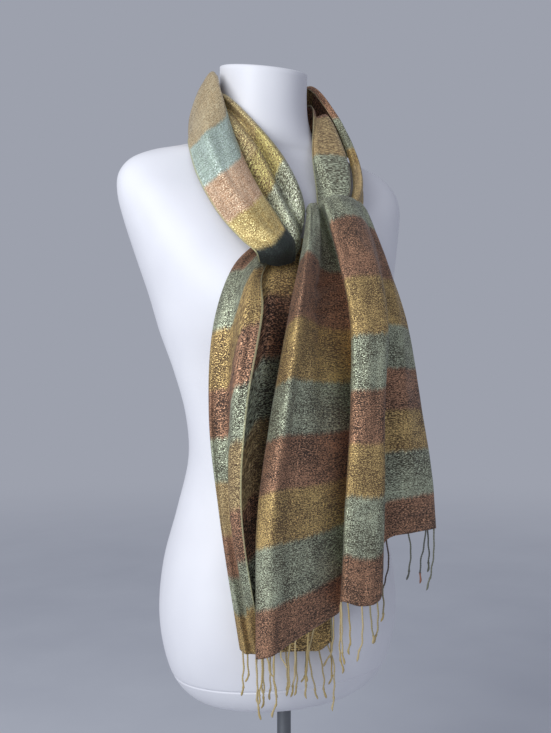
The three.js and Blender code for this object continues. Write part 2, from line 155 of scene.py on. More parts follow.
def crease(grid, across, along, table):
    """Moves the grid along its normals. For each row of the table, the distance of each point from
    the segment start to end gives a bell of the row's width, times its height, and the bell fades
    towards both ends of the segment. Ridges have a positive height and troughs a negative one."""
    push = np.zeros(grid.shape[:2])
    for start_u, start_v, end_u, end_v, width, height in table:
        run_u, run_v = end_u - start_u, end_v - start_v
        length = math.hypot(run_u, run_v)
        part = ((across - start_u) * run_u + (along - start_v) * run_v) / length ** 2
        inside = np.clip(part, 0, 1)
        off = np.hypot(across - start_u - inside * run_u, along - start_v - inside * run_v)
        fade = np.sin(np.pi * np.clip(inside, CREASE_END, 1 - CREASE_END)) ** CREASE_FADE
        push += height * fade * np.exp(-(off / width) ** 2)
    return grid + facing(grid) * push[..., None]


def ripples(grid, across, along, height, seed):
    """A gentle unevenness: sine waves of unlike length and direction, added together. A longer wave
    is higher, by the share of its length in FULL_RIPPLE_WAVELENGTH."""
    rng = np.random.default_rng(seed)
    push = np.zeros(grid.shape[:2])
    for wavelength in RIPPLE_WAVELENGTHS:
        turn = rng.uniform(-0.5, 0.5)
        phase = rng.uniform(0, 2 * np.pi)
        way = across * np.cos(turn) + along * np.sin(turn) * 0.5
        push += np.sin(2 * np.pi * way / wavelength + phase) * wavelength / FULL_RIPPLE_WAVELENGTH
    return grid + facing(grid) * push[..., None] * height


# %% [markdown]
# A grid becomes a mesh of quads. Its UV map holds the real distance across and along the cloth in
# metres, so the weave and the stripes run with the threads wherever the cloth turns.

# %% Grid to mesh
SHELL = 1.0


def smooth(mesh):
    """Shades all faces of a mesh as one smooth surface."""
    mesh.polygons.foreach_set("use_smooth", np.ones(len(mesh.polygons), dtype=bool))
    mesh.update()


def quads(rows, columns, closed):
    """The four points of each cell of a grid whose points are numbered row by row. A closed grid
    joins its last column to the first."""
    wide = columns if closed else columns - 1
    row, column = np.meshgrid(np.arange(rows - 1), np.arange(wide), indexing="ij")
    right = (column + 1) % columns
    return np.stack([row * columns + column, (row + 1) * columns + column,
                     (row + 1) * columns + right, row * columns + right], axis=-1).reshape(-1, 4)


def grid_mesh(name, grid, across, along):
    """Makes an object from a grid in millimetres: each cell is one quad, and each corner's UV is
    its distance across and along in metres."""
    corners = quads(*grid.shape[:2], closed=False)
    mesh = bpy.data.meshes.new(name)
    mesh.from_pydata(grid.reshape(-1, 3) * MM, [], corners)
    places = np.stack([across, along], axis=-1).reshape(-1, 2) * MM
    mesh.uv_layers.new(name="UVMap").data.foreach_set("uv", places[corners.reshape(-1)].reshape(-1))
    smooth(mesh)
    return linked(name, mesh)


def thicken(piece):
    """Gives a sheet its thickness of SHELL, half on each side, with closed edges."""
    wall = piece.modifiers.new("wall", "SOLIDIFY")
    wall.thickness = SHELL * MM
    wall.offset = 0


# %% [markdown]
# The cloth is woven in broad bands of three colours, copper brown, sage green and gold, and every
# band has a thin metal yarn beside the plain one. The metal catches the light in small dashes that
# lie along the weft. The bands are a colour ramp read along the cloth, with edges as ragged as
# threads are, and the glints are a noise stretched along the weft that switches to a metal finish.

# %% Material helpers
def linear(code):
    """A colour written as a web code, turned to the linear values that shaders use."""
    parts = np.array([int(code[k:k + 2], 16) for k in (1, 3, 5)]) / 255
    low = parts / 12.92
    high = ((parts + 0.055) / 1.055) ** 2.4
    return (*np.where(parts <= 0.04045, low, high).tolist(), 1.0)


def blank_material(name):
    """A material with its Principled shader, ready for nodes."""
    material = bpy.data.materials.new(name)
    material.use_nodes = True
    tree = material.node_tree
    shader = next(node for node in tree.nodes if node.type == "BSDF_PRINCIPLED")
    return material, tree, shader


def set_inputs(tree, node, inputs):
    """Sets each input of a node to a value, or links it to a socket."""
    for name, value in inputs.items():
        if isinstance(value, bpy.types.NodeSocket):
            tree.links.new(value, node.inputs[name])
        else:
            node.inputs[name].default_value = value


def add_node(tree, kind, settings=None, inputs=None):
    """Adds a node, sets its own settings, and sets or links its inputs."""
    node = tree.nodes.new(kind)
    for name, value in (settings or {}).items():
        setattr(node, name, value)
    set_inputs(tree, node, inputs or {})
    return node


def maths(tree, operation, first, second=0.0, clamp=False):
    """A Math node whose inputs may be numbers or sockets."""
    return add_node(tree, "ShaderNodeMath", {"operation": operation, "use_clamp": clamp},
                    {0: first, 1: second}).outputs[0]


def weighted(tree, *parts):
    """The sum of each value times its weight, where a part is (value, weight)."""
    products = [maths(tree, "MULTIPLY", value, weight) for value, weight in parts]
    total = products[0]
    for product in products[1:]:
        total = maths(tree, "ADD", total, product)
    return total


def centred(tree, value, weight):
    """A noise less its middle value of 0.5, times a weight."""
    return maths(tree, "MULTIPLY", maths(tree, "SUBTRACT", value, 0.5), weight)


def smooth_step(tree, value, start, end):
    """0 up to start, 1 from end on, and a soft S between them."""
    return add_node(tree, "ShaderNodeMapRange", {"interpolation_type": "SMOOTHSTEP"},
                    {"Value": value, "From Min": start, "From Max": end}).outputs["Result"]


def bumped(tree, height, strength, distance):
    """Normals tilted as if the height stood out by a distance in mm."""
    return add_node(tree, "ShaderNodeBump", None, {"Height": height, "Strength": strength,
                                                   "Distance": distance * MM}).outputs["Normal"]


def own_place(tree):
    """The place of each point in the object's own coordinates, in metres."""
    return add_node(tree, "ShaderNodeTexCoord").outputs["Object"]


def fitted_noise(tree, vector, scale, detail=2.0, rough=0.5):
    """A noise read at a vector that is first stretched by a scale for each direction."""
    stretched = add_node(tree, "ShaderNodeVectorMath", {"operation": "MULTIPLY"},
                         {0: vector, 1: scale}).outputs[0]
    return add_node(tree, "ShaderNodeTexNoise", None,
                    {"Vector": stretched, "Scale": 1.0, "Detail": detail, "Roughness": rough}).outputs["Fac"]


def ramp(tree, factor, stops):
    """A colour ramp with its stops as (place, colour)."""
    node = add_node(tree, "ShaderNodeValToRGB", None, {"Fac": factor})
    elements = node.color_ramp.elements
    while len(elements) > 1:
        elements.remove(elements[-1])
    elements[0].position = stops[0][0]
    elements[0].color = stops[0][1]
    for place, colour in stops[1:]:
        elements.new(place).color = colour
    return node.outputs["Color"]


def mixed(tree, factor, first, second, way="MIX"):
    """Two colours mixed by a factor."""
    return add_node(tree, "ShaderNodeMix", {"data_type": "RGBA", "blend_type": way},
                    {"Factor": factor, 6: first, 7: second}).outputs[2]


# %% The woven cloth
# Each band has the colour of its plain yarn and the colour of its metal yarn.
GOLD = (linear("#5f472c"), linear("#e6c684"))
GREEN = (linear("#4b4636"), linear("#cfd5b8"))
BROWN = (linear("#3e2b1f"), linear("#cd9d7c"))
# The green band where the right collar's end rolls under into the knot, darkened as painted shade.
GREEN_IN_PAINTED_SHADE = (linear("#171a17"), linear("#3e463f"))
TAN = (linear("#6d573b"), linear("#dcc28e"))
# The right collar faces the window: these lighter copies of the yarns are painted light.
GOLD_IN_PAINTED_LIGHT = (linear("#a08448"), linear("#f5dfa0"))
COPPER_IN_PAINTED_LIGHT = (linear("#ad8462"), linear("#fbd9ba"))
SAGE_IN_PAINTED_LIGHT = (linear("#94a394"), linear("#e2f2e6"))
TAN_IN_PAINTED_LIGHT = (linear("#a18a66"), linear("#f0dfb8"))
SELVEDGE = linear("#b9b58a")
SELVEDGE_WIDTH = 2.2
SELVEDGE_SHARE = 0.6
# Lengths in mm: half of the blend at a band's edge, how far its threads stray one by one and in
# broad waves, how far the ramp reaches past the last edge, and the height of the weave.
BLEND = 3.0
THREAD_STRAY = 9
BROAD_STRAY = 7
REACH_PAST_EDGE = 60
WEAVE_HEIGHT = 0.7
BRIGHTEST = 0.92
GLINT_STARTS, GLINT_FULL = 0.5, 0.6
SPARKLE_STARTS, SPARKLE_FULL = 0.61, 0.74
METAL_SHINE = 0.8


def band_stops(edges, colours, reach, kind, lift):
    """Two stops at each edge, BLEND mm before it and after it, so one band fades into the next.
    kind is 0 for the plain yarn and 1 for the metal one."""
    # lift lightens both tones as painted light.
    tones = [tuple(min(lift * part, BRIGHTEST) for part in pair[kind][:3]) + (1.0,) for pair in colours]
    stops = [(0.0, tones[0])]
    for edge, before, after in zip(edges, tones[:-1], tones[1:]):
        stops.append(((edge - BLEND) / reach, before))
        stops.append(((edge + BLEND) / reach, after))
    return stops


def woven_cloth(name, edges, colours, lift, flat_width):
    """The cloth's finish. edges are the distances in mm along the cloth at which the colour
    changes, and colours has one more entry than edges. lift makes both yarns lighter as painted light."""
    material, tree, shader = blank_material(name)
    place = add_node(tree, "ShaderNodeUVMap", {"uv_map": "UVMap"}).outputs["UV"]
    split = add_node(tree, "ShaderNodeSeparateXYZ", None, {0: place})
    across, along = split.outputs["X"], split.outputs["Y"]

    ragged = fitted_noise(tree, place, (500, 60, 1), detail=1)
    wander = fitted_noise(tree, place, (14, 3, 1), detail=0)
    shift = maths(tree, "ADD", centred(tree, ragged, THREAD_STRAY * MM),
                  centred(tree, wander, BROAD_STRAY * MM))
    reach = edges[-1] + REACH_PAST_EDGE
    where = maths(tree, "DIVIDE", maths(tree, "ADD", along, shift), reach * MM, clamp=True)
    plain = ramp(tree, where, band_stops(edges, colours, reach, 0, lift))
    metal = ramp(tree, where, band_stops(edges, colours, reach, 1, lift))

    weft = fitted_noise(tree, place, (16, 620, 1), detail=2, rough=0.6)
    warp = fitted_noise(tree, place, (620, 14, 1), detail=1)
    patch = fitted_noise(tree, place, (34, 24, 1), detail=3)
    streak = fitted_noise(tree, place, (70, 340, 1), detail=1)
    tone = weighted(tree, (weft, 0.8), (warp, 0.6), (streak, 0.4))
    shade = ramp(tree, maths(tree, "MULTIPLY", tone, 0.5),
                 [(0.3, (0.4, 0.36, 0.33, 1)), (0.46, (0.95, 0.95, 0.95, 1)), (0.62, (1.5, 1.47, 1.4, 1))])
    cloth = mixed(tree, 1.0, plain, shade, "MULTIPLY")

    # The metal yarn shows in dashes, thicker in some patches, with a few brighter sparkles.
    dash = fitted_noise(tree, place, (620, 1300, 1), detail=0)
    grain = fitted_noise(tree, place, (1200, 1500, 1), detail=0)
    dash = weighted(tree, (dash, 0.6), (grain, 0.4))
    thick = maths(tree, "ADD", dash, centred(tree, patch, 0.32))
    thick = maths(tree, "ADD", thick, centred(tree, streak, 0.2))
    glint = smooth_step(tree, thick, GLINT_STARTS, GLINT_FULL)
    speck = fitted_noise(tree, place, (460, 1000, 1), detail=0)
    sparkle = smooth_step(tree, speck, SPARKLE_STARTS, SPARKLE_FULL)
    bright = mixed(tree, 1.0, metal, (1.25, 1.25, 1.25, 1), "MULTIPLY")
    glint = maths(tree, "MAXIMUM", glint, sparkle)
    colour = mixed(tree, sparkle, mixed(tree, glint, cloth, metal), bright)

    near_edge = maths(tree, "LESS_THAN", across, SELVEDGE_WIDTH * MM)
    far_edge = maths(tree, "GREATER_THAN", across, (flat_width - SELVEDGE_WIDTH) * MM)
    edge = maths(tree, "ADD", near_edge, far_edge, clamp=True)
    colour = mixed(tree, maths(tree, "MULTIPLY", edge, SELVEDGE_SHARE), colour, SELVEDGE)

    crumple = fitted_noise(tree, place, (150, 200, 1), detail=3, rough=0.6)
    relief = weighted(tree, (crumple, 1.6), (dash, 1.0))
    smoother = maths(tree, "MULTIPLY", maths(tree, "ADD", glint, sparkle), 0.17)
    set_inputs(tree, shader, {
        "Base Color": colour,
        "Metallic": maths(tree, "MULTIPLY", glint, METAL_SHINE),
        "Roughness": maths(tree, "SUBTRACT", 0.75, smoother),
        "Normal": bumped(tree, relief, 0.6, WEAVE_HEIGHT),
        "Sheen Weight": 0.15,
        "Sheen Roughness": 0.4,
    })
    return material


YARNS = {"gold": GOLD, "green": GREEN, "brown": BROWN, "tan": TAN, "copper in painted light": COPPER_IN_PAINTED_LIGHT}
for yarn_name, (plain_tone, metal_tone) in YARNS.items():
    print(f"{yarn_name}: plain {plain_tone[1]:.2f}, metal {metal_tone[1]:.2f}")

# %% [markdown]
# One call below makes a whole stretch of cloth: the sheet from its fold lines, its small creases,
# its mesh with real distances, its thickness and its place in the frame.

# %% Make a stretch of cloth
def cloth_stretch(name, node, table, rows, columns, creases, ripple, finish, tops=None, skew=0.0):
    """Makes one stretch from its fold lines. finish is the material's name, band edges, colours and
    lift. tops gives, for each fold line, the distance along the cloth at its first station; the last
    station is at 0, so the stripes follow the weft. Where the cloth lies askew, skew lowers that
    distance by a share of the distance across."""
    grid = folded_sheet(list(table.values()), rows, columns)
    from_top = lengths(grid, 0)
    along = from_top[-1] - from_top
    if tops is not None:
        scale = through(np.array(tops, float)[:, None], columns)[:, 0] / along[0]
        along = along * scale
    steps = lengths(grid, 1)
    flat_width = float(np.median(steps[:, -1]))
    across = np.broadcast_to(np.linspace(0, flat_width, columns + 1), along.shape)
    along = along - skew * across
    grid = crease(grid, across, along, creases)
    grid = ripples(grid, across, along, ripple, len(name))
    piece = grid_mesh(name, grid, across, along)
    thicken(piece)
    piece.data.materials.append(woven_cloth(*finish, flat_width))
    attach(piece, "root")
    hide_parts(node)
    flat_length = float(np.median(from_top[-1]))
    print(f"{name}: {len(piece.data.polygons)} quads, {flat_width:.0f} by {flat_length:.0f} mm")
    return piece, grid, (flat_width * MM, flat_length * MM)


# %% [markdown]
# The end that hangs in front comes out over the knot and falls in broad folds. Its first fold is a
# long roll on the wearer's right, then a flat panel, a deep trough in shadow, a narrower roll and
# the panel that turns away over the wearer's left hip. Each row below is one of those lines.

# %% The front tail's fold lines
# Stations: tuck, crest, chest, bust, waist, low, hem.
TAIL_FRONT = {
    "right tuck": [[8, 58, 928], [8, 62, 930], [-18, 97, 885], [-38, 114, 800], [-58, 120, 690],
      [-74, 118, 570], [-74, 122, 418]],
    "right turn": [[0, 61, 932], [-1, 66, 934], [-27, 102, 880], [-57, 127, 800], [-81, 132, 690],
      [-98, 130, 570], [-99, 128, 410]],
    "long roll": [[1, 64, 937], [0, 73, 940], [-25, 116, 889], [-54, 148, 802], [-74, 153, 694],
      [-88, 149, 576], [-88, 143, 415]],
    "flat panel": [[8, 66, 938], [7, 74, 941], [-9, 108, 886], [-35, 138, 799], [-50, 146, 691],
      [-61, 144, 571], [-66, 139, 423]],
    "inner flank": [[13, 62, 936], [12, 68, 938], [9, 86, 884], [-9, 118, 800], [-8, 131, 690],
      [-17, 133, 568], [-34, 131, 433]],
    "deep trough": [[17, 59, 937], [18, 61, 938], [30, 84, 884], [36, 112, 800], [42, 111, 690],
      [34, 112, 568], [17, 115, 447]],
    "middle edge": [[21, 61, 944], [20, 69, 948], [18, 99, 898], [19, 136, 805], [19, 140, 700],
      [12, 138, 568], [9, 134, 464]],
    "middle roll": [[37, 63, 948], [37, 72, 953], [38, 108, 900], [36, 150, 790], [36, 154, 700],
      [34, 150, 570], [28, 146, 459]],
    "middle flank": [[56, 60, 949], [56, 68, 954], [61, 107, 900], [63, 147, 800], [56, 154, 700],
      [56, 151, 570], [53, 147, 464]],
    "left trough": [[68, 54, 948], [68, 62, 953], [80, 92, 896], [80, 119, 800], [66, 126, 700],
      [72, 126, 590], [74, 126, 528]],
    "left panel": [[79, 53, 944], [79, 60, 949], [92, 87, 894], [106, 110, 805], [106, 126, 700],
      [112, 130, 600], [112, 130, 536]],
    "left turn": [[87, 49, 939], [88, 56, 943], [99, 75, 890], [123, 97, 800], [139, 108, 690],
      [149, 118, 600], [152, 122, 538]],
    "left tuck": [[87, 44, 932], [88, 49, 935], [90, 67, 888], [106, 84.5, 795], [124, 98, 690],
      [134, 106, 600], [138, 108, 540]],
}
FRONT_TOPS = [560, 560, 560, 560, 560, 560, 507, 507, 507, 525, 525, 525, 525]
FRONT_EDGES = [53, 122, 183, 245, 308, 378, 460]
FRONT_COLOURS = [BROWN, GREEN, GOLD, BROWN, GREEN, GOLD, BROWN, GREEN]
# Start across, start along, end across, end along, width, height.
FRONT_CREASES = [
    # Pulled ridges and troughs in the hollow below the knot.
    (87, 407, 135, 433, 5, 2.6), (95, 396, 138, 418, 4.5, 2.2), (78, 416, 132, 446, 5, -2.4),
    (84, 390, 130, 404, 5, -1.8), (90, 372, 118, 384, 5, 1.3),
    # Pinches where the cloth leaves the knot.
    (82, 541, 95, 470, 6, 1.5), (62, 540, 70, 480, 5, -1.5), (120, 540, 128, 470, 6, 1.4),
    (196, 540, 202, 462, 6, 1.3), (182, 520, 188, 452, 5, -1.3), (43, 535, 43, 485, 5, -1.4),
    # The long roll and the flat panel.
    (58, 361, 64, 205, 8, 1.3), (72, 330, 74, 150, 9, -1.5), (60, 285, 56, 108, 7, 1.2),
    (108, 385, 112, 201, 10, -1.9), (96, 340, 92, 150, 8, 1.3), (88, 221, 126, 228, 4, 1.1),
    (86, 208, 124, 213, 4, -1.1), (70, 196, 118, 204, 4, 0.8), (107, 163, 126, 197, 6, 1.0),
    (56, 62, 118, 88, 8, 1.3), (62, 44, 124, 66, 6, -1.0),
    # The narrower panel beside the deep trough.
    (190, 446, 226, 394, 7, 1.4), (182, 430, 214, 372, 6, -1.2), (198, 380, 192, 140, 8, 1.1),
    (212, 400, 208, 120, 7, -1.4), (184, 111, 214, 125, 4, 1.3), (186, 100, 216, 110, 4, -1.2),
    (180, 168, 205, 176, 5, 0.9),
    # The panel that turns away over the left hip.
    (244, 410, 240, 110, 6, -1.6), (278, 330, 282, 60, 9, 1.4), (294, 360, 298, 90, 8, -1.5),
    (262, 220, 300, 190, 7, 1.1), (266, 250, 306, 232, 6, -1.0), (268, 28, 302, 34, 4, 1.8),
    (270, 18, 306, 22, 3.5, -1.6), (274, 9, 308, 12, 4, 1.5), (318, 200, 322, 60, 7, 1.2),
    # Puckers that the knotted warp ends draw into the hem.
    (45, 10, 52, 40, 4, 1.2), (70, 4, 72, 40, 4, -1.1), (96, 6, 94, 44, 4, 1.1),
    (118, 4, 122, 34, 4, -1.0), (150, 4, 148, 38, 4, 1.0), (176, 4, 178, 32, 4, 1.0),
    (204, 4, 202, 36, 4, -1.1), (226, 6, 230, 40, 4, 1.0), (252, 4, 250, 30, 4, -1.0),
]
TAIL_RIPPLE = 0.35
front, front_grid, front_flat = cloth_stretch(
    "front_tail_cloth", "tail_front", TAIL_FRONT, 250, 176, FRONT_CREASES, TAIL_RIPPLE,
    ("front tail cloth", FRONT_EDGES, FRONT_COLOURS, 1.0), FRONT_TOPS)

# %% [markdown]
# The other end comes out under the knot. It hangs beside and behind the first one, with its woven
# selvedge showing as a pale line where the cloth turns in.

# %% The back tail's fold lines
# Stations: start inside the knot, knot, bust, waist, low, hem.
TAIL_BACK = {
    "selvedge": [[-34, 78, 896], [-76, 98, 850], [-95, 138, 800], [-117, 143, 690], [-117, 130, 575],
      [-86, 116, 414]],
    "edge roll": [[-44, 79, 895], [-89, 102, 852], [-113, 132, 800], [-129, 132, 690], [-127, 120, 575],
      [-94, 118, 412]],
    "side trough": [[-54, 77, 893], [-97, 89, 853], [-121, 110, 797], [-128, 114, 690], [-124, 113, 575],
      [-99, 115, 412]],
    "side roll": [[-64, 76, 890], [-104, 85, 855], [-131, 98, 797], [-141, 103, 690], [-133, 108, 575],
      [-108, 117, 414]],
    "side turn": [[-72, 71, 888], [-106, 80, 857], [-134, 90, 793], [-145, 100, 687], [-135, 106, 575],
      [-111, 111, 418]],
    "side tuck": [[-64, 69, 890], [-98, 75, 855], [-120, 79, 800], [-132, 90, 690], [-123, 98, 575],
      [-102, 104, 420]],
    "inside right": [[-50, 70, 893], [-84, 84, 852], [-98, 92, 800], [-108, 102, 690], [-110, 104, 575],
      [-90, 107, 412]],
    "inside roll": [[-36, 71, 895], [-62, 91, 850], [-72, 106, 800], [-84, 106, 690], [-92, 108, 575],
      [-72, 111, 408]],
    "inside trough": [[-20, 70, 896], [-40, 95, 850], [-42, 105, 800], [-50, 101, 690], [-60, 104, 575],
      [-50, 108, 406]],
    "behind roll": [[-6, 71, 897], [-16, 91, 850], [-14, 100.8, 800], [-20, 104, 690], [-30, 108, 575],
      [-24, 111, 404]],
    "behind trough": [[2, 70, 898], [-4, 91, 850], [-2, 100, 800], [-6, 98, 690], [-12, 102, 575],
      [-6, 108, 402]],
    "behind end": [[10, 71, 899], [7, 92, 850], [11, 100, 800], [11, 99, 690], [6, 104, 575],
      [11, 109, 412]],
}
BACK_TOPS = [400, 405, 486, 486, 486, 486, 420, 350, 350, 350, 350, 350]
BACK_EDGES = [41, 83, 130, 189, 238, 291, 356, 430]
BACK_COLOURS = [GOLD, GREEN, BROWN, TAN, GREEN, BROWN, GOLD, GREEN, BROWN]
BACK_CREASES = [
    # Crescents that cross the shaded inside.
    (104, 186, 134, 178, 4, 2.4), (102, 178, 132, 170, 3.5, -2.0), (106, 170, 136, 163, 4, 2.2),
    (108, 160, 134, 155, 3.5, -1.6), (122, 330, 120, 202, 6, 1.4), (108, 307, 110, 199, 6, -1.4),
    (130, 300, 128, 210, 5, -1.2),
    # The rolls that show beside the form.
    (46, 353, 46, 224, 5, 1.0), (58, 330, 58, 180, 5, -1.1), (26, 365, 18, 224, 6, -1.2),
    (10, 308, 8, 223, 4, 1.0), (46, 147, 54, 25, 6, -1.0), (60, 120, 62, 20, 5, 1.0),
    (24, 120, 28, 20, 6, 1.0), (10, 180, 26, 140, 5, 0.9),
    # Pinches under the knot.
    (30, 439, 10, 392, 4, -1.6), (20, 444, 6, 400, 4, 1.4), (44, 436, 36, 380, 4, -1.2),
    # The layer that hangs behind.
    (150, 340, 148, 120, 8, 1.2), (164, 280, 170, 60, 8, -1.3), (140, 90, 176, 120, 7, 1.0),
]
back, back_grid, back_flat = cloth_stretch(
    "back_tail_cloth", "tail_back", TAIL_BACK, 220, 150, BACK_CREASES, TAIL_RIPPLE,
    ("back tail cloth", BACK_EDGES, BACK_COLOURS, 1.0), BACK_TOPS)

# %% [markdown]
# Round the neck the cloth lies in two layers. An outer flap stands up from the shoulders to a
# crest beside the neck, and inside it the rest of the width is bunched into rolls that lean on the
# neck. The back half runs round the neck's axis, so its places are a distance from it and a height.

# %% Places round the neck
NECK_AXIS_BACK = 64
NECK_STEPS = 3
SEAM = 0.35


def round_neck(table, hand):
    """Turns each line's first two entries, [distance from the neck's axis, height] behind the neck
    and at its side, into four places on a quarter turn; the other entries are places already."""
    share = np.linspace(0, 1, NECK_STEPS + 1)
    turn = share * np.pi / 2
    lines = {}
    for name, (back_place, side_place, *rest) in table.items():
        radius = back_place[0] + (side_place[0] - back_place[0]) * share
        height = back_place[1] + (side_place[1] - back_place[1]) * share
        across = hand * np.maximum(radius * np.sin(turn), SEAM)
        arc = np.stack([across, -NECK_AXIS_BACK - radius * np.cos(turn), height], axis=-1)
        lines[name] = arc.tolist() + [list(p) for p in rest]
    return lines


# Lines start behind the neck and at its side: ridge, collar, chest, breast, throat and end follow.
RIGHT_COLLAR = {
    "outer edge": [[92, 1014], [106, 1040], [-121, -30, 1024.2], [-125, 9, 977], [-112, 47, 924],
      [-97, 82, 889], [-88, 103, 872], [-82, 99, 862]],
    "flat flap": [[97, 1060], [99, 1086], [-107, -20, 1060], [-112, 18, 1015], [-98, 58, 955],
      [-78, 97, 903], [-64, 114, 873], [-60, 101, 858]],
    "apex": [[82, 1110], [75, 1131], [-81, -25, 1098], [-81, 15, 1024], [-71, 58, 964], [-53, 88, 915],
      [-45, 111, 884], [-42, 99, 862]],
    "top turn": [[73, 1109], [68, 1127], [-75, -33, 1098], [-69, 2, 1029], [-60, 46, 963], [-43, 77, 915],
      [-36, 101, 886], [-33, 96, 866]],
}
RIGHT_ROLLS = {
    "first crease": [[95.4, 1060], [95, 1070], [-86, -32, 1062], [-68, -4, 1014], [-59, 30, 967],
      [-46, 62, 922], [-37, 92, 881], [-33, 92, 868]],
    "first roll": [[84, 1067], [84, 1075], [-75, -31, 1071], [-53, 14, 1022], [-45, 44, 983],
      [-39, 73, 939], [-27, 90, 903], [-23, 90, 884]],
    "second crease": [[77, 1075], [77, 1084], [-68, -38, 1079], [-40, 0, 1025], [-30, 24, 988],
      [-25, 50, 951], [-17, 72, 917], [-13, 73, 901]],
    "second roll": [[76, 1086], [76, 1096], [-70, -34, 1089], [-34, 14, 1031], [-21, 39, 997],
      [-13, 62, 961], [-8, 69, 931], [-8, 71, 918]],
    "neck edge": [[69, 1094], [68, 1103], [-64, -38, 1094], [-24, 3, 1035], [-9, 26, 1000], [-1, 49, 960],
      [1, 56, 936], [-3, 61, 921]],
}
# On the wearer's left: ridge, shoulder, breast and end follow.
LEFT_COLLAR = {
    "outer edge": [[92, 1014], [106, 1040], [119, -28, 1025], [112, 5, 990], [100, 32, 951],
      [76, 46, 925]],
    "flat flap": [[97, 1060], [99, 1086], [110, -34, 1055], [111, 1, 1014], [99, 31, 966], [72, 50, 927]],
    "apex": [[82, 1110], [75, 1131], [99, -40, 1092], [105, 0, 1034], [95, 36, 977], [70, 52, 934]],
    "top turn": [[73, 1109], [68, 1127], [90, -48, 1096], [99, -12, 1036], [89, 26, 978], [65, 48, 934]],
}
LEFT_ROLLS = {
    "first crease": [[95.4, 1060], [95, 1072], [94, -54, 1066], [96, -16, 1022], [87, 16, 974],
      [60, 45, 932]],
    "first roll": [[84, 1067], [84, 1080], [85, -42, 1088], [86, 2, 1036], [78, 36, 978], [53, 57, 934]],
    "second crease": [[77, 1075], [77, 1086], [71, -42, 1082], [50, 6, 1020], [50, 38, 965],
      [39, 55, 932]],
    "second roll": [[76, 1086], [76, 1096], [69, -42, 1088], [44, 2, 1018], [42, 29, 966], [30, 53, 934]],
    "neck edge": [[69, 1094], [68, 1104], [65, -43, 1095], [41, 1, 1018], [31, 31, 960], [18, 56, 928]],
}

RIGHT_COLLAR_CREASES = [
    (38, 237, 24, 107, 8, 1.3), (22, 239, 17, 134, 7, -1.2), (48, 200, 34, 90, 6, -1.1),
    (28, 105, 22, 24, 6, 1.2), (44, 110, 40, 20, 5, -1.3), (74, 268, 72, 154, 5, -1.0),
    (12, 40, 36, -4, 5, -1.4), (30, 44, 48, 2, 5, 1.4), (50, 36, 60, 2, 4, -1.4),
    (20, 420, 24, 300, 8, 1.1),
]
RIGHT_ROLLS_CREASES = [
    (10, 190, 8, 90, 4, -0.9), (20, 210, 20, 70, 4, 0.8), (42, 160, 40, 33, 4, -0.8),
    (50, 240, 48, 120, 4, 0.8),
]
LEFT_COLLAR_CREASES = [
    (59, 174, 78, 44, 6, 1.2), (40, 150, 44, 30, 6, -1.2), (24, 200, 26, 60, 7, 1.1),
    (80, 160, 84, 40, 5, -1.0),
]
LEFT_ROLLS_CREASES = [
    (25, 206, 25, 56, 4, -0.9), (11, 184, 14, 55, 4, 0.9), (38, 170, 38, 60, 4, 0.8),
]


NECK_RIPPLE = 0.3


def neck_piece(name, node, table, hand, rows, columns, creases, edges, colours, skew=0.0, lift=1.0):
    """One layer of cloth round the neck, with its own bands. hand is -1 on the wearer's right,
    and lift lightens its yarns as painted light.
    """
    return cloth_stretch(name, node, round_neck(table, hand), rows, columns, creases, NECK_RIPPLE,
                         (name + " finish", edges, colours, lift), skew=skew)


# The lift on the rolls and the left pieces is painted light on top of their yarns' own colours.
right_collar, _, right_collar_flat = neck_piece(
    "right_collar_cloth", "neck_right_collar", RIGHT_COLLAR, -1, 240, 72, RIGHT_COLLAR_CREASES,
    [16, 72, 134, 203, 320, 390],
    [GREEN_IN_PAINTED_SHADE, GOLD_IN_PAINTED_LIGHT, COPPER_IN_PAINTED_LIGHT, SAGE_IN_PAINTED_LIGHT, TAN_IN_PAINTED_LIGHT, BROWN, GREEN], skew=0.5)
right_rolls, _, right_rolls_flat = neck_piece(
    "right_rolls_cloth", "neck_right_rolls", RIGHT_ROLLS, -1, 240, 88, RIGHT_ROLLS_CREASES,
    [88, 150, 235, 300, 370], [GREEN, GOLD, TAN, BROWN, GREEN, GOLD], lift=1.4)
left_collar, _, left_collar_flat = neck_piece(
    "left_collar_cloth", "neck_left_collar", LEFT_COLLAR, 1, 200, 72, LEFT_COLLAR_CREASES,
    [90, 122, 180, 245, 310], [TAN, GOLD, GREEN, BROWN, GOLD, GREEN], lift=1.2)
left_rolls, _, left_rolls_flat = neck_piece(
    "left_rolls_cloth", "neck_left_rolls", LEFT_ROLLS, 1, 200, 88, LEFT_ROLLS_CREASES,
    [100, 180, 240, 300], [GREEN, TAN, BROWN, GOLD, GREEN], lift=1.2)

# %% [markdown]
# The fringe is made from the cloth's own warp ends, twisted two by two, knotted near the end and
# left as a small tuft. One strand is a tube whose section has two lobes that turn as they go down,
# which draws the twist. It swells at the knot, and the tuft below it is wider and uneven. Each
# strand has its own length and bends, read off the photograph where it shows. All strands of a hem
# are one mesh.

# %% One twisted strand
STRAND_SIDES = 8
STRAND_RINGS = 48
TWIST_LENGTH = 5.5
PLY_DEPTH = 0.24
KNOT_SHARE = 0.8
DRIFT_LINE = (0.9, -0.44)
STRAND_RADIUS = 0.95
WAVE_LENGTH = 19
WAVE_SIZE = 0.6
TUFT_LEAN = 2.4
KNOT_SWELL = 0.7
KNOT_SPREAD = 0.02
TIP_SHARE = 0.06
PHASE_STEP = 1.7


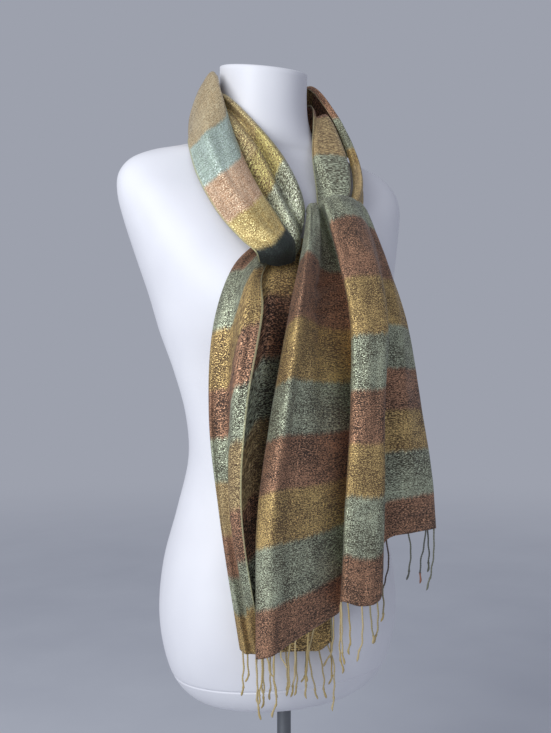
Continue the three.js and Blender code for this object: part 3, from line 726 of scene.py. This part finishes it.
def strand(root, length, drifts, phase):
    """A grid of rings down a soft curve through the drifts, which are the distances along the level
    DRIFT_LINE at a third, two thirds and all of the length. The radius carries two lobes that turn
    once every TWIST_LENGTH, a bell at the knot, and a tuft with three locks that leans to one side
    and closes at the tip."""
    share = np.linspace(0, 1, STRAND_RINGS)[:, None]
    turn = np.linspace(0, 2 * np.pi, STRAND_SIDES, endpoint=False)[None, :]
    drift = through(np.array([0.0, *drifts])[:, None], STRAND_RINGS - 1)
    tuft = np.clip((share - KNOT_SHARE) / (1 - KNOT_SHARE), 0, 1)
    wave = WAVE_SIZE * np.sin(2 * np.pi * share * length / WAVE_LENGTH + phase) * share
    lean = TUFT_LEAN * math.sin(3 * phase) * tuft ** 2
    middle_across = root[0] + DRIFT_LINE[0] * (drift + lean) + wave
    middle_depth = root[1] + DRIFT_LINE[1] * (drift + lean) - 0.7 * wave
    plies = 1 + PLY_DEPTH * np.cos(2 * (turn - 2 * np.pi * length * share / TWIST_LENGTH))
    knot = KNOT_SWELL * np.exp(-((share - KNOT_SHARE) / KNOT_SPREAD) ** 2)
    locks = 1 + np.sqrt(tuft) * (0.75 + 0.55 * np.cos(3 * turn + phase))
    tip = np.sqrt(np.clip((1.0 - share) / TIP_SHARE, 0.02, 1))
    size = STRAND_RADIUS * (plies * (1 - tuft) + locks * tuft + knot) * tip
    return np.stack([middle_across + size * np.cos(turn), middle_depth + size * np.sin(turn),
                     root[2] - length * share + 0 * turn], axis=-1)


def fringe_piece(name, node, hem, table, material):
    """Joins the strands of a table to one mesh. Each row is the root's share of the hem, the
    length, the drift at a third, at two thirds and at the end, and the tones of yarn and tuft."""
    steps = np.concatenate([[0], np.cumsum(np.linalg.norm(np.diff(hem, axis=0), axis=1))])
    grids = []
    tones = []
    below_knot = (np.linspace(0, 1, STRAND_RINGS) > KNOT_SHARE).repeat(STRAND_SIDES)
    for index, (share, length, *drifts, yarn_tone, tuft_tone) in enumerate(table):
        root = [np.interp(share * steps[-1], steps, hem[:, k]) for k in range(3)]
        grids.append(strand(root, length, drifts, index * PHASE_STEP))
        tones.append(np.where(below_knot, tuft_tone, yarn_tone))
    starts = np.arange(len(grids)) * STRAND_RINGS * STRAND_SIDES
    corners = (starts[:, None, None] + quads(STRAND_RINGS, STRAND_SIDES, closed=True)).reshape(-1, 4)
    first_ring = np.arange(STRAND_SIDES)
    last_ring = (STRAND_RINGS - 1) * STRAND_SIDES + first_ring[::-1]
    caps = [(start + first_ring).tolist() for start in starts]
    tips = [(start + last_ring).tolist() for start in starts]
    mesh = bpy.data.meshes.new(name)
    mesh.from_pydata(np.stack(grids).reshape(-1, 3) * MM, [], corners.tolist() + caps + tips)
    mesh.attributes.new("tone", "FLOAT", "POINT").data.foreach_set(
        "value", np.concatenate(tones).astype(np.float32))
    smooth(mesh)
    piece = linked(name, mesh)
    mesh.materials.append(material)
    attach(piece, "root")
    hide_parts(node)
    print(f"{name}: {len(grids)} strands, {len(corners)} quads")
    return piece


def yarn_finish():
    """Twisted yarn: its colour goes from cream through gold to grey green and copper by the
    strand's tone, with a little dust of darker fibre."""
    material, tree, shader = blank_material("fringe yarn")
    tone = add_node(tree, "ShaderNodeAttribute", {"attribute_name": "tone"}).outputs["Fac"]
    base = ramp(tree, tone, [(0, linear("#d9c79a")), (0.35, linear("#c4ac6f")), (0.6, linear("#8f9078")),
                             (0.8, linear("#5c5f57")), (1, linear("#a5705a"))])
    fibre = fitted_noise(tree, own_place(tree), (900, 900, 400), detail=2)
    colour = mixed(tree, maths(tree, "MULTIPLY", fibre, 0.5), base, linear("#8d7650"), "MULTIPLY")
    set_inputs(tree, shader, {"Base Color": colour, "Normal": bumped(tree, fibre, 0.4, 0.3),
                              "Roughness": 0.7, "Sheen Weight": 0.2})
    return material


yarn = yarn_finish()
# Share of the hem, length, drift at a third, at two thirds, at the end, tone of yarn, tone of tuft.
FRONT_STRANDS = [
    (0.012, 58, 0, 0, -1, 0.1, 0.2), (0.038, 62, 0, 1, 0, 0.2, 0.3), (0.068, 69, 1.5, 1.5, 6.5, 0.15, 0.3),
    (0.09, 51, 0.5, -2, -4, 0.3, 0.2), (0.106, 22, 2, 3, 5, 0.2, 0.1), (0.126, 70, 0, 3, -3, 0.25, 0.2),
    (0.152, 20, 0, 3, 9, 0.05, 0.1), (0.188, 60, -2, -1, -2, 0.2, 0.4), (0.207, 65, 0, -1, -5, 0.1, 0.35),
    (0.258, 58, -1, -2, -4, 0.3, 0.3), (0.281, 82, -6, -9, -10, 0.1, 0.2),
    (0.369, 60, 0, -2, -11, 0.15, 0.2), (0.432, 82, 0, -1, 5, 0.2, 0.3), (0.455, 74, 1, 1, 4, 0.05, 0.3),
    (0.478, 61, 2, 3, 0, 0.35, 0.4),
    (0.52, 65, 1, 0, -8, 0.1, 0.1), (0.545, 45, 1, 3, 4, 0.5, 0.2), (0.571, 49, 1, 0, -3, 0.45, 0.15),
    (0.64, 50, 1, 2, 0, 0.5, 0.3), (0.715, 48, 1, 0, -2, 0.8, 0.6), (0.76, 73, 3, -1, -11, 0.85, 0.7),
    (0.835, 57, 3, 2, -2, 0.75, 0.8), (0.9, 66, -3, -7, -6, 0.8, 1.0), (0.935, 77, 0, -3, -8, 0.7, 0.65),
    (0.978, 58, 1, 2, 0, 0.75, 0.7),
]
BACK_STRANDS = [
    (0.05, 56, 0, 1, 1, 0.2, 0.3), (0.165, 50, 1, 0, 1, 0.25, 0.3), (0.29, 42, 0, 1, 0, 0.3, 0.3),
    (0.41, 48, 1, 0, -1, 0.1, 0.2), (0.5, 52, -1, 0, 2, 0.3, 0.2), (0.6, 46, 1, 2, 1, 0.2, 0.3),
    (0.68, 52, 0, 1, -1, 0.15, 0.3), (0.755, 37, 0, -1, -3, 0.5, 0.4), (0.77, 57, 3, 7, 11, 0.15, 0.2),
    (0.87, 57, 4, 6, 6, 0.2, 0.3), (0.95, 80, 8, 8, 5, 0.1, 0.1), (0.985, 52, 0, 1, -1, 0.35, 0.3),
]
front_fringe = fringe_piece("front_fringe_yarn", "fringe_front", front_grid[-1], FRONT_STRANDS, yarn)
back_fringe = fringe_piece("back_fringe_yarn", "fringe_back", back_grid[-1], BACK_STRANDS, yarn)

# %% [markdown]
# Each stretch also gives back the flat size its part of the cloth was cut to.

# %% [markdown]
# The dress form is a moulded shell in satin white. Its level cuts are superellipses whose sizes
# change smoothly with height, and the neck's top leans down to the front.

# %% The dress form
# Height, half width, front, back, centre behind the pole, squareness.
FORM_SECTIONS = [
    [312, 60, 44, 44, 10, 2],
    [314, 92, 66, 66, 10, 2],
    [326, 122, 87, 87, 10, 2.05],
    [350, 143, 101, 103, 10, 2.1],
    [390, 156, 110, 114, 10, 2.15],
    [435, 160, 112, 118, 11, 2.2],
    [495, 154, 106, 112, 12, 2.2],
    [560, 136, 98, 100, 14, 2.15],
    [625, 121, 92, 90, 16, 2.1],
    [680, 124, 94, 90, 20, 2.1],
    [735, 138, 104, 94, 26, 2.1],
    [785, 155, 122, 98, 32, 2.1],
    [830, 167, 128, 100, 38, 2.1],
    [880, 183, 116, 98, 44, 2.15],
    [925, 197, 98, 88, 50, 2.2],
    [960, 205, 80, 76, 54, 2.3],
    [985, 203, 66, 66, 58, 2.3],
    [1003, 190, 58, 60, 60, 2.2],
    [1016, 165, 56, 58, 62, 2.1],
    [1026, 128, 57, 58, 64, 2],
    [1036, 96, 60, 60, 65, 2],
    [1050, 75, 62, 62, 66, 2],
    [1075, 64, 61, 61, 66, 2],
    [1108, 60, 60, 60, 64, 2],
    [1141, 60, 60, 60, 62, 2],
]
NECK_TILT = math.tan(math.radians(12.5))
TILT_STARTS, TILT_ENDS = 1030, 1141
BUST_ACROSS, BUST_HEIGHT, BUST_RISE, BUST_SPREAD = 72, 812, 16, 40
FORM_SEGMENTS = 144
FORM_STEPS = 6
FORM_INSET = 0.5
RIM_HEIGHT, RIM_DEPTH, RIM_WIDTH = 352, 1.0, 1.1
RIM_REACH, RIM_CUTS = 3, 15
# Rings that round off the neck's top: share of its size, and lift in mm.
NECK_BEVEL = ((0.985, 0.9), (0.955, 1.6), (0.9, 2.0), (0.5, 2.6), (0.02, 2.8))
FLOOR_RINGS = (0.02, 0.5)


def form_grid():
    """Rings of |x/a|^n + |y/b|^n = 1 at each height, with a bell added over each breast. A fine
    groove runs round the lower rim, where the moulded base plate meets the shell."""
    cuts = through(np.array(FORM_SECTIONS, float), (len(FORM_SECTIONS) - 1) * FORM_STEPS)
    rim_heights = RIM_HEIGHT + np.linspace(-RIM_REACH, RIM_REACH, RIM_CUTS)
    rim_cuts = [np.interp(rim_heights, cuts[:, 0], cuts[:, k]) for k in range(6)]
    cuts = np.concatenate([cuts, np.stack(rim_cuts, axis=1)])
    cuts = cuts[np.argsort(cuts[:, 0])]
    height, half, front_depth, back_depth, centre, square = (cuts[:, k, None] for k in range(6))
    turn = np.linspace(0, 2 * np.pi, FORM_SEGMENTS, endpoint=False)[None, :]
    cosine, sine = np.cos(turn), np.sin(turn)
    inset = FORM_INSET + RIM_DEPTH * np.exp(-((height - RIM_HEIGHT) / RIM_WIDTH) ** 2)
    across = (half - inset) * np.sign(cosine) * np.abs(cosine) ** (2 / square)
    depth = np.where(sine < 0, front_depth, back_depth) - inset
    from_centre = depth * np.sign(sine) * np.abs(sine) ** (2 / square)
    away = np.hypot(np.abs(across) - BUST_ACROSS, height - BUST_HEIGHT) / BUST_SPREAD
    swell = np.where(sine < 0, BUST_RISE * np.exp(-away ** 2 / 2), 0)
    step = np.clip((height - TILT_STARTS) / (TILT_ENDS - TILT_STARTS), 0, 1)
    lean = NECK_TILT * step * step * (3 - 2 * step)
    grid = np.stack([across, centre + from_centre - swell, height + lean * from_centre], axis=-1)
    rim = grid[-1:]
    middle = rim.mean(axis=1, keepdims=True)
    bevel = [middle + (rim - middle) * share + np.array([0, 0, lift]) for share, lift in NECK_BEVEL]
    floor_middle = grid[:1].mean(axis=1, keepdims=True)
    close = [floor_middle + (grid[:1] - floor_middle) * share for share in FLOOR_RINGS]
    return np.concatenate(close + [grid] + bevel)


def outward(mesh):
    """Turns the faces outwards where the mesh's signed volume is negative."""
    work = bmesh.new()
    work.from_mesh(mesh)
    if work.calc_volume(signed=True) < 0:
        bmesh.ops.reverse_faces(work, faces=work.faces)
    work.to_mesh(mesh)
    work.free()


def satin_white():
    """A moulded shell: nearly even white, with faint clouding and a very fine orange peel."""
    material, tree, shader = blank_material("satin white shell")
    place = own_place(tree)
    cloud = fitted_noise(tree, place, (9, 9, 6), detail=3)
    peel = fitted_noise(tree, place, (350, 350, 350), detail=2)
    colour = ramp(tree, cloud, [(0.3, linear("#e6e5ea")), (0.7, linear("#f1f0f4"))])
    rough = maths(tree, "ADD", 0.42, maths(tree, "MULTIPLY", cloud, 0.12))
    set_inputs(tree, shader, {"Base Color": colour, "Normal": bumped(tree, peel, 0.08, 0.4),
                              "Roughness": rough})
    return material


def solid_of_rings(name, node, grid, material):
    """A closed piece from rings of points, with its ends capped and its faces outwards."""
    rows, columns = grid.shape[:2]
    first_ring = list(range(columns))
    last_ring = [(rows - 1) * columns + k for k in range(columns)]
    faces = quads(rows, columns, closed=True).tolist() + [first_ring, last_ring[::-1]]
    mesh = bpy.data.meshes.new(name)
    mesh.from_pydata(grid.reshape(-1, 3) * MM, [], faces)
    smooth(mesh)
    outward(mesh)
    mesh.materials.append(material)
    piece = linked(name, mesh)
    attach(piece, "root")
    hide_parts(node)
    print(f"{name}: {len(faces)} faces")


solid_of_rings("moulded_form", "dress_form", form_grid(), satin_white())

# %% [markdown]
# The stand is turned metal. Each piece is an outline carried round the pole's axis, with its sharp
# corners broken by a small round, as a lathe hand would leave them.

# %% The stand
ROUND = 96
CORNER_STEPS = 4
LARGEST_CORNER = 0.45


def turned(outline):
    """Rings from an outline of [radius, height] points: each point goes round the pole's axis."""
    turn = np.linspace(0, 2 * np.pi, ROUND, endpoint=False)[None, :]
    radius, height = np.array(outline, float).T[:, :, None]
    return np.stack([radius * np.cos(turn), radius * np.sin(turn), height + 0 * turn], axis=-1)


def rounded(outline, size):
    """Breaks each inner corner of an outline by a short quadratic curve of the given size."""
    points = np.array(outline, float)
    done = [points[0]]
    for before, corner, after in zip(points[:-2], points[1:-1], points[2:]):
        enter = corner + (before - corner) * min(size / np.linalg.norm(before - corner), LARGEST_CORNER)
        leave = corner + (after - corner) * min(size / np.linalg.norm(after - corner), LARGEST_CORNER)
        for t in np.linspace(0, 1, CORNER_STEPS):
            done.append((1 - t) ** 2 * enter + 2 * t * (1 - t) * corner + t * t * leave)
    return done + [points[-1]]


def satin_metal():
    """Grey turned metal, with rings of fine tool marks and a few duller clouds."""
    material, tree, shader = blank_material("satin grey metal")
    place = own_place(tree)
    marks = fitted_noise(tree, place, (40, 40, 2200), detail=2)
    cloud = fitted_noise(tree, place, (30, 30, 30), detail=3)
    colour = ramp(tree, cloud, [(0.3, linear("#6f7173")), (0.7, linear("#85878a"))])
    rough = maths(tree, "ADD", 0.3, maths(tree, "MULTIPLY", marks, 0.15))
    set_inputs(tree, shader, {"Base Color": colour, "Normal": bumped(tree, marks, 0.12, 0.2),
                              "Roughness": rough, "Metallic": 1.0})
    return material


FOOT_RADIUS, FOOT_HEIGHT, POLE_RADIUS = 150, 8, 9
SOCKET_RADIUS, SOCKET_HEIGHT, SOCKET_BORE = 19, 26, 9.3
FLANGE_RADIUS, FLANGE_HEIGHT, FORM_UNDERSIDE = 36, 6, 312
POLE_TOP = FORM_UNDERSIDE - FLANGE_HEIGHT
SOCKET_TOP = FOOT_HEIGHT + SOCKET_HEIGHT
FLANGE_TOP = FORM_UNDERSIDE - 0.1
SOCKET_FOOT = FOOT_HEIGHT + 0.1
BORE_FOOT = FOOT_HEIGHT + 0.3
# The small radius at which a cap closes the middle of a disc or rod.
CORE, POLE_CORE = 0.5, 0.2
# Piece, solid, size of the broken corners, outline.
STAND = [
    ("round_foot", "foot", 2.5,
     [[CORE, 0], [FOOT_RADIUS, 0], [FOOT_RADIUS, FOOT_HEIGHT], [CORE, FOOT_HEIGHT]]),
    ("pole_tube", "pole", 0.8,
     [[POLE_CORE, FOOT_HEIGHT], [POLE_RADIUS, FOOT_HEIGHT], [POLE_RADIUS, POLE_TOP], [POLE_CORE, POLE_TOP]]),
    ("form_flange", "flange", 1.5,
     [[CORE, POLE_TOP], [FLANGE_RADIUS, POLE_TOP], [FLANGE_RADIUS, FLANGE_TOP], [CORE, FLANGE_TOP]]),
    ("pole_socket", "socket", 1.2,
     [[SOCKET_BORE, SOCKET_FOOT], [SOCKET_RADIUS, SOCKET_FOOT], [SOCKET_RADIUS, SOCKET_TOP],
      [SOCKET_BORE, SOCKET_TOP], [SOCKET_BORE, BORE_FOOT]]),
]
metal = satin_metal()
for name, node, corner_size, outline in STAND:
    solid_of_rings(name, node, turned(rounded(outline, corner_size)), metal)

# %% [markdown]
# A plain pale floor and two large soft windows on the wearer's right, one high and one low, give
# the light of the photograph: the form is white on that side and grey on the other. The grey studio
# round about fills the shade.

# %% Floor, light and world
STUDIO = linear("#9da1ad")
FLOOR_SIZE = 30.0
FLOOR_FADE_START, FLOOR_FADE_END = 1.2, 5.0
# Name, place, aim, power in watts, colour. Both windows are squares of WINDOW_SIZE metres.
WINDOW_SIZE = 0.8
WINDOWS = [
    ("high window", (-1.45, -0.9, 2.2), (0, 0, 0.9), 10, (0.97, 0.99, 1.0)),
    ("side window", (-1.6, -0.85, 1.15), (0, 0, 0.85), 18, (0.93, 0.97, 1.0)),
]


def pale_floor():
    """A large flat floor with a pale matte finish. Far from the stand it fades to the studio's own
    colour by its distance from the middle, so no horizon shows."""
    corners = [(FLOOR_SIZE * x, FLOOR_SIZE * y, 0) for x, y in ((-1, -1), (1, -1), (1, 1), (-1, 1))]
    mesh = bpy.data.meshes.new("floor")
    mesh.from_pydata(corners, [], [(0, 1, 2, 3)])
    floor = linked("floor", mesh)
    material, tree, shader = blank_material("pale floor")
    place = own_place(tree)
    grain = fitted_noise(tree, place, (3, 3, 3), detail=4)
    colour = ramp(tree, grain, [(0.3, linear("#d2d4da")), (0.7, linear("#dadce1"))])
    set_inputs(tree, shader, {"Base Color": colour, "Roughness": 0.95})
    away = add_node(tree, "ShaderNodeVectorMath", {"operation": "LENGTH"}, {0: place}).outputs["Value"]
    fade = smooth_step(tree, away, FLOOR_FADE_START, FLOOR_FADE_END)
    glow = add_node(tree, "ShaderNodeEmission", None, {"Color": STUDIO, "Strength": 1.0})
    blend = add_node(tree, "ShaderNodeMixShader", None,
                     {0: fade, 1: shader.outputs["BSDF"], 2: glow.outputs["Emission"]})
    output = next(node for node in tree.nodes if node.type == "OUTPUT_MATERIAL")
    tree.links.new(blend.outputs["Shader"], output.inputs["Surface"])
    mesh.materials.append(material)


def soft_light(name, place, aim, power, colour):
    """A square area light that looks at aim."""
    data = bpy.data.lights.new(name, "AREA")
    data.size = WINDOW_SIZE
    data.energy = power
    data.color = colour
    light = linked(name, data)
    direction = np.array(aim, float) - np.array(place, float)
    light.location = place
    flat = math.hypot(direction[0], direction[1])
    light.rotation_euler = (math.atan2(flat, -direction[2]), 0, math.atan2(-direction[0], direction[1]))


pale_floor()
for window in WINDOWS:
    soft_light(*window)
world = bpy.data.worlds.new("studio")
world.use_nodes = True
background = next(node for node in world.node_tree.nodes if node.type == "BACKGROUND")
background.inputs["Color"].default_value = STUDIO
background.inputs["Strength"].default_value = 1.0
bpy.context.scene.world = world
bpy.context.scene.view_settings.view_transform = "Standard"
